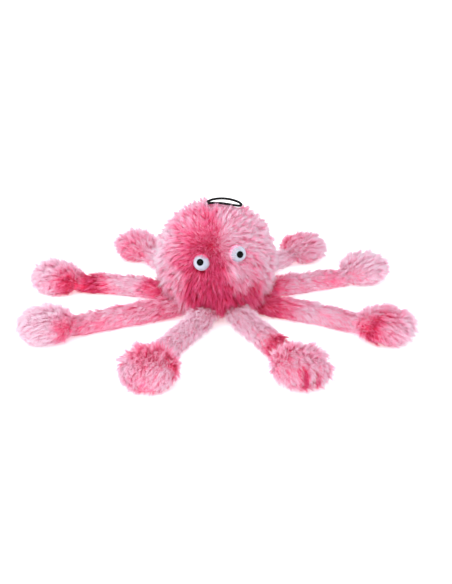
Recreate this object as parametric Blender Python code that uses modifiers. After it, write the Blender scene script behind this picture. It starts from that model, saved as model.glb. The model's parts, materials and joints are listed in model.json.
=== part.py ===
# Plush octopus: a ball of long-pile fur fabric with eight limp legs, each ending in a stuffed foot.
# Units are metres. +Z is up, -Y is the face, and the origin is on the floor below the head.
# Pile is left off: each solid is the stuffed form that the fur grows from.

import math

import bmesh
import bpy
from mathutils import Matrix, Vector

# Head: a slightly square-shouldered ball, pressed flat where it sits
HEAD_RADIUS = 0.0515
HEAD_HEIGHT = 0.1035
HEAD_SQUARENESS = 2.15
LEG_SEAM_HEIGHT = 0.014
HEAD_STEPS = 20
COVER_BANDS = 10
BASE_BANDS = 5

# Cloth and fits
FABRIC = 0.0016
GAP = 0.0003
FLOOR_FLAT = 0.0005
OVERRUN = 0.02

# Eyes: turned plastic balls with a shank through the cover and a washer behind it
EYE_RADIUS = 0.0075
EYE_BACK = 0.0045
PUPIL_RADIUS = 0.003
PUPIL_DEPTH = 0.001
SHANK_RADIUS = 0.002
SHANK_STUB = 0.0012
WASHER_RADIUS = 0.0065
WASHER_THICKNESS = 0.0014
PUPIL_DOME_SHARES = (0.6, 0.64)
EYE_STEPS = 16
EYE_BANDS = 8

# Squeaker: a blown bladder round a pocket in the stuffing, with a reed plug in its neck
BLADDER_RADIUS = 0.015
BLADDER_WALL = 0.0012
BLADDER_HEIGHT = 0.052
NECK_RADIUS = 0.0048
NECK_LENGTH = 0.006
REED_RADIUS = 0.0032
REED_HOLE = 0.001
REED_LENGTH = 0.0075
REED_FLANGE = 0.0012
SQUEAKER_STEPS = 12
BLADDER_BANDS = 7

# Legs: a gathered root, a stuffed tube, a pinched ankle and a broad stuffed foot
ROOT_RADIUS = 0.0058
ROOT_REACH = 0.0195
LEG_RADIUS = 0.0085
ANKLE_RADIUS = 0.0068
ANKLE_HEIGHT = 0.0078
LEG_LENGTH = 0.084
FOOT_LENGTH = 0.042
FOOT_WIDTH = 0.04
FOOT_HEIGHT = 0.026
LEG_SIDES = 6
ROOT_STEPS = 10
ROOT_BANDS = 4

# Hanging loop: one cord, both ends sewn into the crown seam, lying over to the right
CORD_DIAMETER = 0.0024
LOOP_ROUTE = (
    (-0.0108, 0.0015, 0.1041),
    (-0.0096, 0.0022, 0.1071),
    (-0.0044, 0.0040, 0.1098),
    (0.0030, 0.0056, 0.1107),
    (0.0110, 0.0060, 0.1103),
    (0.0180, 0.0056, 0.1088),
    (0.0228, 0.0038, 0.1072),
    (0.0246, 0.0002, 0.1062),
    (0.0230, -0.0036, 0.1062),
    (0.0182, -0.0060, 0.1073),
    (0.0110, -0.0066, 0.1087),
    (0.0030, -0.0060, 0.1095),
    (-0.0044, -0.0044, 0.1091),
    (-0.0096, -0.0024, 0.1070),
    (-0.0108, -0.0015, 0.1041),
)
LOOP_POINTS = 22
LOOP_PARTS = 12

# Where the legs leave the head, which way they run and how they bend, seen from above.
# Degrees are turned from the front towards +X; a bend is a share of the leg's reach.
LEG_PLACES = {
    "front_left": {"root": -12, "heading": -22, "bend_share": 0.01, "foot_turn": -12},
    "front_right": {"root": 27, "heading": 25, "bend_share": -0.02, "foot_turn": 10},
    "side_front_right": {"root": 70, "heading": 62, "bend_share": 0.02, "foot_turn": 4},
    "side_back_right": {"root": 115, "heading": 112, "bend_share": 0.02, "foot_turn": -4},
    "back_right": {"root": 147, "heading": 144, "bend_share": 0.07, "foot_turn": 0},
    "back_left": {"root": -149, "heading": -147, "bend_share": -0.03, "foot_turn": 0},
    "side_back_left": {"root": -105, "heading": -103, "bend_share": -0.08, "foot_turn": 0},
    "side_front_left": {"root": -58, "heading": -64, "bend_share": -0.01, "foot_turn": 2},
}

# Where each eye sits (degrees from the front, height) and which way it looks
EYE_PLACES = {
    "left": {"turn": -13.2, "height": 0.0645, "look_turn": -11, "look_up": 22},
    "right": {"turn": 23.4, "height": 0.0724, "look_turn": 17, "look_up": 12},
}

# Rings of the soft cages: how far along, and the half width and half height there
LEG_RING_SHARES = ((0.14, 1.05), (0.72, 1.0))
FOOT_RING_SHARES = ((0.17, 0.84, 0.86), (0.5, 1.06, 1.1), (0.84, 0.92, 0.94))
MOUTH_RING_SHARES = (0.9, 0.43)
SHOULDER_RING_SHARES = (0.45, 0.89)
TIP_RING_SHARES = (0.97, 0.4)
TOE_SHARE = 0.5
ROOT_SINK_SHARE = 0.6
ROOT_WAIST_SHARE = 0.9

COLOURS = {
    "head_cover_left": (0.86, 0.16, 0.36),
    "head_cover_right": (0.88, 0.44, 0.56),
    "head_base": (0.84, 0.30, 0.46),
    "front_left": (0.90, 0.42, 0.56),
    "front_right": (0.92, 0.50, 0.62),
    "side_front_right": (0.88, 0.34, 0.50),
    "side_back_right": (0.86, 0.46, 0.58),
    "back_right": (0.88, 0.36, 0.52),
    "back_left": (0.88, 0.34, 0.50),
    "side_back_left": (0.88, 0.38, 0.54),
    "side_front_left": (0.92, 0.56, 0.68),
    "stuffing": (0.90, 0.89, 0.86),
    "eye_white": (0.92, 0.92, 0.93),
    "pupil": (0.01, 0.01, 0.012),
    "washer": (0.80, 0.80, 0.78),
    "squeaker": (0.85, 0.86, 0.88),
    "cord": (0.015, 0.015, 0.018),
}


def clear_scene():
    """Remove the objects that the scene starts with."""
    for thing in list(bpy.data.objects):
        bpy.data.objects.remove(thing, do_unlink=True)


def new_collection(name):
    """A collection of that name, linked to the scene."""
    group = bpy.data.collections.new(name)
    bpy.context.scene.collection.children.link(group)
    return group


def finish(thing, colour, roughness):
    """Give a piece its own material."""
    look = bpy.data.materials.new(thing.name + "_finish")
    look.use_nodes = True
    shader = look.node_tree.nodes["Principled BSDF"]
    shader.inputs["Base Color"].default_value = (*COLOURS[colour], 1)
    shader.inputs["Roughness"].default_value = roughness
    shader.inputs["Metallic"].default_value = 0
    thing.data.materials.append(look)


def add_mesh(name, shape, group, frame=None, local=Matrix.Identity(4)):
    """An object from a bmesh, parented to the empty that it turns with."""
    mesh = bpy.data.meshes.new(name)
    shape.to_mesh(mesh)
    shape.free()
    thing = bpy.data.objects.new(name, mesh)
    group.objects.link(thing)
    thing.parent = frame
    thing.matrix_basis = local
    return thing


def make_cutter(thing):
    """Mark an object as a cutter, which is no part of the toy."""
    thing.hide_render = True
    thing.display_type = "WIRE"
    return thing


def turned(name, profile, steps, group, frame=None, local=Matrix.Identity(4)):
    """A turned shape: a profile of (radius, height) points spun about the local Z axis."""
    shape = bmesh.new()
    corners = [shape.verts.new((radius, 0, height)) for radius, height in profile]
    for first, second in zip(corners, corners[1:]):
        shape.edges.new((first, second))
    thing = add_mesh(name, shape, group, frame, local)
    spin = thing.modifiers.new("turn", "SCREW")
    spin.axis = "Z"
    spin.steps = steps
    spin.render_steps = steps
    spin.use_merge_vertices = True
    spin.merge_threshold = GAP / 10
    spin.use_smooth_shade = True
    return thing


def thicken(thing, thickness):
    """Turn an open surface into cloth with its thickness on the inner side."""
    wall = thing.modifiers.new("cloth", "SOLIDIFY")
    wall.thickness = thickness
    wall.offset = -1


def shrink(thing, depth):
    """Move a closed surface inwards by one depth all over."""
    inner = thing.modifiers.new("inner", "DISPLACE")
    inner.strength = -depth
    inner.mid_level = 0


def cut(thing, cutter, operation="DIFFERENCE"):
    """A Boolean with the cutter."""
    knife = thing.modifiers.new(cutter.name, "BOOLEAN")
    knife.operation = operation
    knife.solver = "EXACT"
    knife.object = cutter


def joint_frame(name, origin, outward, group, parent=None):
    """An empty on a joint, with its X axis pointing outwards, and Z as near up as can be."""
    along = outward.normalized()
    side = Vector((0, 0, 1)).cross(along).normalized()
    rise = along.cross(side)
    place = Matrix((along, side, rise)).transposed().to_4x4()
    place.translation = origin
    frame = bpy.data.objects.new(name, None)
    frame.empty_display_size = LEG_RADIUS
    group.objects.link(frame)
    frame.parent = parent
    frame.matrix_basis = parent_inverse(parent) @ place
    return frame


def world_place(frame):
    """Where an empty or a piece stands in the world, from its chain of parents."""
    if frame is None:
        return Matrix.Identity(4)
    return world_place(frame.parent) @ frame.matrix_basis


def parent_inverse(parent):
    """The matrix that takes a world place into a parent's own space."""
    return world_place(parent).inverted()


def box_cutter(name, low, high, group):
    """A box between two corners, used as a cutter."""
    shape = bmesh.new()
    middle = (Vector(low) + Vector(high)) / 2
    span = Vector(high) - Vector(low)
    bmesh.ops.create_cube(
        shape, size=1, matrix=Matrix.Translation(middle) @ Matrix.Diagonal((*span, 1))
    )
    return make_cutter(add_mesh(name, shape, group))


# Head outline

HEAD_HALF = (HEAD_HEIGHT + FLOOR_FLAT) / 2
HEAD_MIDDLE = HEAD_HEIGHT - HEAD_HALF


def powered(value):
    """The head's superellipse rule: a sine or cosine raised to keep its sign."""
    return math.copysign(abs(value) ** (2 / HEAD_SQUARENESS), value)


def head_point(lean):
    """Radius and height of the head's outline at an angle above its widest line."""
    height = HEAD_MIDDLE + HEAD_HALF * powered(math.sin(lean))
    return HEAD_RADIUS * powered(max(math.cos(lean), 0)), height


def head_lean(height):
    """The angle at which the head's outline reaches a height."""
    rise = (height - HEAD_MIDDLE) / HEAD_HALF
    return math.copysign(math.asin(abs(rise) ** (HEAD_SQUARENESS / 2)), rise)


def head_spot(turn, height):
    """A point of the head's surface and the direction straight out of it."""
    lean = head_lean(height)
    step = math.radians(1)
    radius, level = head_point(lean)
    high_radius, high_level = head_point(lean + step)
    low_radius, low_level = head_point(lean - step)
    heading = Vector((math.sin(math.radians(turn)), -math.cos(math.radians(turn)), 0))
    out = heading * (high_level - low_level) + Vector((0, 0, low_radius - high_radius))
    return heading * radius + Vector((0, 0, level)), out.normalized()


def head_profile(high, low, bands):
    """Points down the head's outline between two angles."""
    leans = [high + (low - high) * band / bands for band in range(bands + 1)]
    return [head_point(lean) for lean in leans]


def make_head(floor, toy, tools):
    """Two upper panels meeting on the middle seam, the base panel and the filling."""
    crown = math.pi / 2
    seam = head_lean(LEG_SEAM_HEIGHT)
    parting = (GAP + FABRIC * (crown - seam) / COVER_BANDS) / HEAD_RADIUS
    upper = head_profile(crown, seam, COVER_BANDS)
    lower = head_profile(seam - parting, -crown, BASE_BANDS)
    far = HEAD_RADIUS + OVERRUN
    high = HEAD_HEIGHT + OVERRUN
    sides = {
        "left": box_cutter("left_half", (-far, -far, -OVERRUN), (-GAP / 2, far, high), tools),
        "right": box_cutter("right_half", (GAP / 2, -far, -OVERRUN), (far, far, high), tools),
    }
    covers = {}
    for side, half in sides.items():
        cover = turned("head_cover_" + side, upper, HEAD_STEPS, toy)
        thicken(cover, FABRIC)
        cut(cover, half, "INTERSECT")
        finish(cover, cover.name, 0.95)
        covers[side] = cover
    base = turned("head_base", lower, HEAD_STEPS, toy)
    thicken(base, FABRIC)
    cut(base, floor)
    finish(base, base.name, 0.95)
    filling = turned("head_stuffing", upper + lower, HEAD_STEPS, toy)
    shrink(filling, FABRIC + GAP)
    finish(filling, "stuffing", 1.0)
    return covers, filling


def eye_fit(side):
    """Where an eye sits and looks, how far it stands off and how deep its washer lies."""
    place = EYE_PLACES[side]
    seat, out = head_spot(place["turn"], place["height"])
    turn = math.radians(place["look_turn"])
    level = math.cos(math.radians(place["look_up"]))
    rise = math.sin(math.radians(place["look_up"]))
    look = Vector((math.sin(turn) * level, -math.cos(turn) * level, rise))
    tilt = look.angle(out)
    lift = GAP + math.sqrt(EYE_RADIUS**2 - EYE_BACK**2) * math.sin(tilt)
    band = (math.pi / 2 - head_lean(LEG_SEAM_HEIGHT)) / COVER_BANDS
    facets = HEAD_RADIUS * (2 - math.cos(math.pi / HEAD_STEPS) - math.cos(band / 2))
    bow = WASHER_RADIUS**2 / (2 * HEAD_RADIUS) + WASHER_RADIUS * math.tan(tilt)
    depth = lift + (FABRIC + GAP + facets) / math.cos(tilt) + bow
    return seat, look, lift, depth


def make_eye(side, covers, filling, toy, tools):
    """One eye: ball and shank in one moulding, a pupil set in its front, a washer inside."""
    seat, look, lift, depth = eye_fit(side)
    deepest = max(eye_fit(each)[-1] for each in EYE_PLACES)
    shank = deepest + WASHER_THICKNESS + SHANK_STUB
    frame = joint_frame("eye_axis_" + side, seat + look * lift, look, toy)
    stand = Matrix.Rotation(math.pi / 2, 4, "Y")

    mouth = PUPIL_RADIUS + GAP
    front = EYE_BACK + math.sqrt(EYE_RADIUS**2 - mouth**2)
    floor = front - PUPIL_DEPTH
    start = math.acos(mouth / EYE_RADIUS)
    stop = -math.asin(EYE_BACK / EYE_RADIUS)
    arc = [start + (stop - start) * band / EYE_BANDS for band in range(EYE_BANDS + 1)]
    profile = [(0, floor), (mouth, floor)]
    profile += [(EYE_RADIUS * math.cos(a), EYE_BACK + EYE_RADIUS * math.sin(a)) for a in arc]
    profile += [(SHANK_RADIUS, 0), (SHANK_RADIUS, -shank), (0, -shank)]
    ball = turned("eye_ball_" + side, profile, EYE_STEPS, toy, frame, stand)
    finish(ball, "eye_white", 0.15)

    crown = EYE_BACK + EYE_RADIUS
    out_share, rise_share = PUPIL_DOME_SHARES
    pupil_profile = [
        (0, crown),
        (PUPIL_RADIUS * out_share, front + (crown - front) * rise_share),
        (PUPIL_RADIUS, front),
        (PUPIL_RADIUS, floor + GAP),
        (0, floor + GAP),
    ]
    pupil = turned("pupil_" + side, pupil_profile, EYE_STEPS, toy, frame, stand)
    finish(pupil, "pupil", 0.1)

    bore = SHANK_RADIUS + GAP
    ring = [
        (bore, -depth),
        (WASHER_RADIUS, -depth),
        (WASHER_RADIUS, -depth - WASHER_THICKNESS),
        (bore, -depth - WASHER_THICKNESS),
        (bore, -depth),
    ]
    washer = turned("eye_washer_" + side, ring, EYE_STEPS, toy, frame, stand)
    finish(washer, "washer", 0.5)

    pocket = [
        (0, OVERRUN),
        (WASHER_RADIUS + GAP * 2, OVERRUN),
        (WASHER_RADIUS + GAP * 2, -depth - WASHER_THICKNESS - GAP),
        (SHANK_RADIUS + GAP * 2, -depth - WASHER_THICKNESS - GAP),
        (SHANK_RADIUS + GAP * 2, -shank - GAP),
        (0, -shank - GAP),
    ]
    recess = make_cutter(turned("eye_recess_" + side, pocket, EYE_STEPS, tools, frame, stand))
    cut(filling, recess)
    through = [
        (0, OVERRUN),
        (SHANK_RADIUS + GAP * 2, OVERRUN),
        (SHANK_RADIUS + GAP * 2, -OVERRUN),
        (0, -OVERRUN),
    ]
    hole = make_cutter(turned("shank_hole_" + side, through, EYE_STEPS, tools, frame, stand))
    cut(covers[side], hole)


def bladder_arc(radius, neck):
    """Points down a ball of one radius from its top to where its neck leaves it."""
    stop = -math.acos(neck / radius)
    fall = (stop - math.pi / 2) / BLADDER_BANDS
    leans = [math.pi / 2 + fall * band for band in range(BLADDER_BANDS + 1)]
    points = [(radius * max(math.cos(lean), 0), radius * math.sin(lean)) for lean in leans]
    points[0] = (0, radius)
    return points


def make_squeaker(filling, toy, tools):
    """The bladder, its reed, and the pocket in the filling that holds them."""
    local = Matrix.Translation((0, 0, BLADDER_HEIGHT))
    inner_neck = REED_RADIUS + GAP
    outer = bladder_arc(BLADDER_RADIUS, NECK_RADIUS)
    inner = bladder_arc(BLADDER_RADIUS - BLADDER_WALL, inner_neck)
    mouth = outer[-1][1] - NECK_LENGTH
    profile = outer + [(NECK_RADIUS, mouth), (inner_neck, mouth)] + inner[::-1]
    bladder = turned("squeaker_bladder", profile, SQUEAKER_STEPS, toy, local=local)
    finish(bladder, "squeaker", 0.4)

    below = mouth - GAP
    top = below + REED_LENGTH
    ring = [
        (REED_HOLE, top),
        (REED_RADIUS, top),
        (REED_RADIUS, below),
        (NECK_RADIUS, below),
        (NECK_RADIUS, below - REED_FLANGE),
        (REED_HOLE, below - REED_FLANGE),
        (REED_HOLE, top),
    ]
    reed = turned("squeaker_reed", ring, SQUEAKER_STEPS, toy, local=local)
    finish(reed, "eye_white", 0.4)

    shaft = NECK_RADIUS + GAP
    pocket = bladder_arc(BLADDER_RADIUS + GAP, shaft)
    pocket += [(shaft, -BLADDER_HEIGHT - OVERRUN), (0, -BLADDER_HEIGHT - OVERRUN)]
    hollow = turned("squeaker_pocket", pocket, SQUEAKER_STEPS, tools, local=local)
    make_cutter(hollow)
    cut(filling, hollow)


def smooth_route(points, count):
    """Evenly spread points on the smooth curve through a cord's route."""
    route = [Vector(point) for point in points]
    ends = [2 * route[0] - route[1]] + route + [2 * route[-1] - route[-2]]
    fine = []
    for index in range(1, len(route)):
        a, b, c, d = ends[index - 1 : index + 3]
        for part in range(LOOP_PARTS):
            t = part / LOOP_PARTS
            bend = (b * 2 + (c - a) * t + (a * 2 - b * 5 + c * 4 - d) * t * t) / 2
            fine.append(bend + (b * 3 - a - c * 3 + d) * t**3 / 2)
    fine.append(route[-1])
    runs = [0]
    for first, second in zip(fine, fine[1:]):
        runs.append(runs[-1] + (second - first).length)
    spread = []
    for index in range(count):
        want = runs[-1] * index / (count - 1)
        near = max(k for k, run in enumerate(runs[:-1]) if run <= want + GAP / 1000)
        part = (want - runs[near]) / (runs[near + 1] - runs[near])
        spread.append(fine[near].lerp(fine[near + 1], part))
    return spread


def make_loop(toy):
    """The hanging loop, a cord sewn in by both ends, turning over at its seam."""
    route = smooth_route(LOOP_ROUTE, LOOP_POINTS)
    hinge = (route[0] + route[-1]) / 2
    frame = joint_frame("loop_seam", hinge, Vector((1, 0, 0)), toy)
    curve = bpy.data.curves.new("hang_loop", "CURVE")
    curve.dimensions = "3D"
    curve.bevel_depth = CORD_DIAMETER / 2
    curve.bevel_resolution = 2
    curve.use_fill_caps = True
    line = curve.splines.new("POLY")
    line.points.add(len(route) - 1)
    for spot, point in zip(line.points, route):
        spot.co = (*(point - hinge), 1)
    loop = bpy.data.objects.new("hang_loop", curve)
    toy.objects.link(loop)
    loop.parent = frame
    finish(loop, "cord", 0.6)


# Legs

LEG_MIDDLE = LEG_RADIUS - FLOOR_FLAT
FOOT_MIDDLE = FOOT_HEIGHT / 2 - FLOOR_FLAT
SOCKET = ANKLE_RADIUS + GAP
FOOT_REACH = SOCKET + FOOT_LENGTH / 2
LEG_REACH = ROOT_REACH + LEG_LENGTH + FOOT_REACH
ROOT_STAND = Matrix.Rotation(math.pi / 2, 4, "Y")
RING_SWELL = 1 / (0.75 + 0.25 * math.cos(2 * math.pi / LEG_SIDES))


def leg_path(place, start, run):
    """A point that far along a leg, bowed sideways, and the direction there, seen from above."""
    turn = math.radians(place["heading"])
    ahead = Vector((math.sin(turn), -math.cos(turn), 0))
    aside = Vector((0, 0, 1)).cross(ahead)
    wave = math.pi * run / LEG_REACH
    bow = place["bend_share"] * LEG_REACH
    point = start + ahead * run + aside * (bow * math.sin(wave))
    slope = place["bend_share"] * math.pi * math.cos(wave)
    return point, (ahead + aside * slope).normalized()


def cage_ring(shape, centre, along, half_width, half_height):
    """One ring of a soft cage: a circle stretched to the section and turned along the limb."""
    side = Vector((0, 0, 1)).cross(along).normalized()
    rise = along.cross(side)
    axes = (side * half_width * RING_SWELL, rise * half_height * RING_SWELL, along)
    turn = Matrix(axes).transposed().to_4x4()
    made = bmesh.ops.create_circle(
        shape, segments=LEG_SIDES, radius=1, matrix=Matrix.Translation(centre) @ turn
    )
    return made["verts"]


def soft_form(name, rings, open_end, frame, toy):
    """A swelling, tapering form: rings bridged into a coarse cage and subdivided once."""
    shape = bmesh.new()
    inverse = parent_inverse(frame)
    loops = []
    for centre, along, half_width, half_height in rings:
        spot = inverse @ centre
        heading = inverse.to_3x3() @ along
        verts = cage_ring(shape, spot, heading, half_width, half_height)
        loops.append(list({edge for vert in verts for edge in vert.link_edges}))
    for first, second in zip(loops, loops[1:]):
        bmesh.ops.bridge_loops(shape, edges=first + second)
    caps = [bmesh.ops.contextual_create(shape, geom=loops[k])["faces"] for k in (0, -1)]
    bmesh.ops.recalc_face_normals(shape, faces=shape.faces)
    if open_end:
        bmesh.ops.delete(shape, geom=caps[0], context="FACES_ONLY")
    thing = add_mesh(name, shape, toy, frame)
    smooth = thing.modifiers.new("soft", "SUBSURF")
    smooth.levels = 1
    smooth.render_levels = 1
    thing.data.shade_smooth()
    return thing


def stuffed_pair(kind, name, rings, frame, floor, toy):
    """A cover open where it was filled, and the filling that it holds."""
    cover = soft_form(kind + "_cover_" + name, rings, True, frame, toy)
    thicken(cover, FABRIC)
    cut(cover, floor)
    finish(cover, name, 0.95)
    filling = soft_form(kind + "_stuffing_" + name, rings, False, frame, toy)
    shrink(filling, FABRIC + GAP)
    finish(filling, "stuffing", 1.0)


def end_ring(joint, way, radius, shares):
    """A ring near the round end of a tube: how far from the joint's centre, and how wide."""
    ahead, width = shares
    along = way if way.dot(joint) > 0 else -way
    return joint + way * radius * ahead, along, radius * width, radius * width


def root_profile(reach):
    """Down the gathered root: a flat outer end, a slight waist and a round end at the seam."""
    outer = reach - LEG_RADIUS * ROOT_SINK_SHARE
    leans = [math.pi / 2 * band / ROOT_BANDS for band in range(ROOT_BANDS + 1)]
    points = [(0, outer), (ROOT_RADIUS, outer), (ROOT_RADIUS * ROOT_WAIST_SHARE, outer / 2)]
    points += [(ROOT_RADIUS * math.cos(lean), -ROOT_RADIUS * math.sin(lean)) for lean in leans]
    points[-1] = (0, -ROOT_RADIUS)
    return points


def make_leg(name, floor, toy, tools):
    """One leg: root swinging at the head's seam, tube lifting at the root, foot at the ankle."""
    place = LEG_PLACES[name]
    seam, out = head_spot(place["root"], LEG_SEAM_HEIGHT)
    start = seam + out * (ROOT_RADIUS + GAP)
    hip, hip_way = leg_path(place, start, ROOT_REACH)
    hip.z = LEG_MIDDLE
    ankle, ankle_way = leg_path(place, start, ROOT_REACH + LEG_LENGTH)
    ankle.z = ANKLE_HEIGHT
    foot_way = Matrix.Rotation(-math.radians(place["foot_turn"]), 3, "Z") @ ankle_way

    swing = joint_frame("swing_" + name, start, hip - start, toy)
    reach = (hip - start).length
    root = turned("leg_root_" + name, root_profile(reach), ROOT_STEPS, toy, swing, ROOT_STAND)
    ball = bmesh.new()
    bmesh.ops.create_uvsphere(ball, u_segments=16, v_segments=8, radius=LEG_RADIUS + GAP)
    seat = make_cutter(add_mesh("root_seat_" + name, ball, tools, swing))
    seat.location = (reach, 0, 0)
    cut(root, seat)
    finish(root, name, 0.95)

    lift = joint_frame("lift_" + name, hip, hip_way, toy, swing)
    rings = [end_ring(hip, -hip_way, LEG_RADIUS, MOUTH_RING_SHARES)]
    rings.append(end_ring(hip, -hip_way, LEG_RADIUS, SHOULDER_RING_SHARES))
    for share, width in LEG_RING_SHARES:
        spot, way = leg_path(place, start, ROOT_REACH + LEG_LENGTH * share)
        half = LEG_RADIUS * width
        spot.z = half - FLOOR_FLAT
        rings.append((spot, way, half, half))
    rings.append(end_ring(ankle, ankle_way, ANKLE_RADIUS, SHOULDER_RING_SHARES))
    rings.append(end_ring(ankle, ankle_way, ANKLE_RADIUS, TIP_RING_SHARES))
    stuffed_pair("leg", name, rings, lift, floor, toy)

    bend = joint_frame("ankle_" + name, ankle, foot_way, toy, lift)
    rings = [end_ring(ankle, foot_way, SOCKET, MOUTH_RING_SHARES)]
    for share, width, height in FOOT_RING_SHARES:
        spot = ankle + foot_way * (SOCKET + FOOT_LENGTH * share)
        spot.z = FOOT_MIDDLE
        rings.append((spot, foot_way, FOOT_WIDTH / 2 * width, FOOT_HEIGHT / 2 * height))
    tip = ankle + foot_way * (SOCKET + FOOT_LENGTH)
    tip.z = FOOT_MIDDLE
    rings.append((tip, foot_way, FOOT_WIDTH / 2 * TOE_SHARE, FOOT_HEIGHT / 2 * TOE_SHARE))
    stuffed_pair("foot", name, rings, bend, floor, toy)


def main():
    """Build the whole toy."""
    clear_scene()
    toy = new_collection("plush_octopus")
    tools = new_collection("cutters")
    span = LEG_REACH + HEAD_RADIUS + FOOT_LENGTH
    floor = box_cutter("floor_flat", (-span, -span, -OVERRUN), (span, span, 0), tools)
    covers, filling = make_head(floor, toy, tools)
    for side in EYE_PLACES:
        make_eye(side, covers, filling, toy, tools)
    make_squeaker(filling, toy, tools)
    make_loop(toy)
    for name in LEG_PLACES:
        make_leg(name, floor, toy, tools)


main()
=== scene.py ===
# Plush octopus: the looks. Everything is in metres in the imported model's frame:
# +Z up, -Y the face, the origin on the floor under the head.
import json
import math
from functools import partial

import bmesh
import bpy
import numpy as np
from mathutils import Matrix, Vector


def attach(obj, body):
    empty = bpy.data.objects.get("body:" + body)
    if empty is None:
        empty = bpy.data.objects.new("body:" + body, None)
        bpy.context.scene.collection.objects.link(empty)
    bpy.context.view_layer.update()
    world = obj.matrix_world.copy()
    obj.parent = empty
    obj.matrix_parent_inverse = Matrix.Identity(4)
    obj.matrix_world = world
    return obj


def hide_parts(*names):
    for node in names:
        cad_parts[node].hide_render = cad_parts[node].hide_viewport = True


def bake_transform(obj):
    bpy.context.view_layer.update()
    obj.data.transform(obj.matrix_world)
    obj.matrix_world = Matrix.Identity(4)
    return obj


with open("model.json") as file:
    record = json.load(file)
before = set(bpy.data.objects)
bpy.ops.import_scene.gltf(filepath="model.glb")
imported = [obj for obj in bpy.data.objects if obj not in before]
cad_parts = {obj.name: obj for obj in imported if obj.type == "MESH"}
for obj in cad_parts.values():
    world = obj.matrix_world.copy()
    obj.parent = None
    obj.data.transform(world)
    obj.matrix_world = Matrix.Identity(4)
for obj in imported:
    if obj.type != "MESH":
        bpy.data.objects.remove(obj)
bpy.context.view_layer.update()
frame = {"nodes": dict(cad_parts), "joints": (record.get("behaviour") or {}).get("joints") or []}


# Studio: the camera stands 0.8 m off, 22 degrees above the floor, on the face's side.
# The floor and the room are plain white, lit by wide soft lamps, so shadows stay faint.

CAMERA_DISTANCE = 0.7935
CAMERA_RISE = math.radians(22)
CAMERA_AIM = np.array([0.0098, 0.0, 0.0158])
CAMERA_SEES = (0.01, 50)
FILM = 36  # millimetres of film that the picture's rows fill
PICTURE_ROWS = 584
EYE_POINT_ROWS = 792  # the photograph's eye point lies this many of its rows in front of it
ROOM_LIGHT = 1.2
FLOOR_GLOW = 0.45
FLOOR_HALF = 20
LAMP_AIM = (0, 0, 0.04)

# Each lamp's place, width and power in watts.
LAMPS = {
    "window_left": ((-0.9, -0.8, 1.3), 1.2, 4),
    "window_front": ((-0.5, -1.2, 1.0), 1.0, 8.5),
    "overhead": ((0.1, 0.2, 1.5), 1.4, 2),
}


def linear(colour):
    """An sRGB hex colour as linear light: c / 12.92 when dark, else ((c + 0.055) / 1.055) ** 2.4."""
    parts = [int(colour[at : at + 2], 16) / 255 for at in (1, 3, 5)]
    return (*[c / 12.92 if c <= 0.04045 else ((c + 0.055) / 1.055) ** 2.4 for c in parts], 1)


def add(material, kind, inputs=(), stops=(), **settings):
    """Adds one shader node. Inputs are numbers, colours or other nodes' sockets, stops are a ramp's."""
    tree = material.node_tree
    node = tree.nodes.new(kind)
    for name, value in settings.items():
        setattr(node, name, value)
    for name, value in dict(inputs).items():
        if isinstance(value, bpy.types.NodeSocket):
            tree.links.new(value, node.inputs[name])
        else:
            node.inputs[name].default_value = value
    if stops:
        steps = node.color_ramp.elements
        for place, colour in stops[len(steps) :]:
            steps.new(place)
        for step, (place, colour) in zip(steps, stops):
            step.position = place
            step.color = linear(colour)
    return node


def finish_of(name, colour="#ffffff", **sockets):
    """A new material and its Principled shader, with the values that are the same all over it."""
    material = bpy.data.materials.new(name)
    material.use_nodes = True
    shader = material.node_tree.nodes["Principled BSDF"]
    shader.inputs["Base Color"].default_value = linear(colour)
    for socket, value in sockets.items():
        shader.inputs[socket.replace("_", " ")].default_value = value
    return material, shader


def lamp(name, place, size, power):
    """A square soft light that faces the toy."""
    light = bpy.data.lights.new(name, "AREA")
    light.size = size
    light.energy = power
    holder = bpy.data.objects.new(name, light)
    bpy.context.scene.collection.objects.link(holder)
    holder.location = place
    way = Vector([end - start for start, end in zip(place, LAMP_AIM)])
    holder.rotation_euler = way.to_track_quat("-Z", "Y").to_euler()


def direction(turn, rise):
    """The unit arrow at a turn to the right from the front and a rise above the horizon."""
    return np.stack([np.sin(turn) * np.cos(rise), -np.cos(turn) * np.cos(rise), np.sin(rise)], -1)


camera = bpy.data.objects.new("camera", bpy.data.cameras.new("camera"))
camera.data.lens = FILM * EYE_POINT_ROWS / PICTURE_ROWS
camera.data.clip_start, camera.data.clip_end = CAMERA_SEES
camera.location = CAMERA_AIM + direction(0.0, CAMERA_RISE) * CAMERA_DISTANCE
camera.rotation_euler = (math.pi / 2 - CAMERA_RISE, 0, 0)
bpy.context.scene.collection.objects.link(camera)
bpy.context.scene.camera = camera
bpy.context.scene.view_settings.view_transform = "Standard"

room = bpy.data.worlds.new("white_room")
room.use_nodes = True
room.node_tree.nodes["Background"].inputs["Color"].default_value = linear("#fbfcff")
room.node_tree.nodes["Background"].inputs["Strength"].default_value = ROOM_LIGHT
bpy.context.scene.world = room
for name, (place, size, power) in LAMPS.items():
    lamp(name, place, size, power)

# The floor is a white acrylic sheet lit from below, as for a catalogue picture.
sheet, shader = finish_of("lit_white_acrylic", "#f7f7f7", Roughness=0.9, Emission_Strength=FLOOR_GLOW)
shader.inputs["Emission Color"].default_value = linear("#ffffff")
floor_mesh = bpy.data.meshes.new("floor")
corners = [(x * FLOOR_HALF, y * FLOOR_HALF, 0) for x, y in ((-1, -1), (1, -1), (1, 1), (-1, 1))]
floor_mesh.from_pydata(corners, [], [(0, 1, 2, 3)])
floor_mesh.materials.append(sheet)
floor = bpy.data.objects.new("floor", floor_mesh)
bpy.context.scene.collection.objects.link(floor)


# Hanging loop: one black cord, braided from polyester yarn, 2.4 mm thick. Both its ends
# are sewn into the crown seam, and it lies over the crown to the right.

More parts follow.
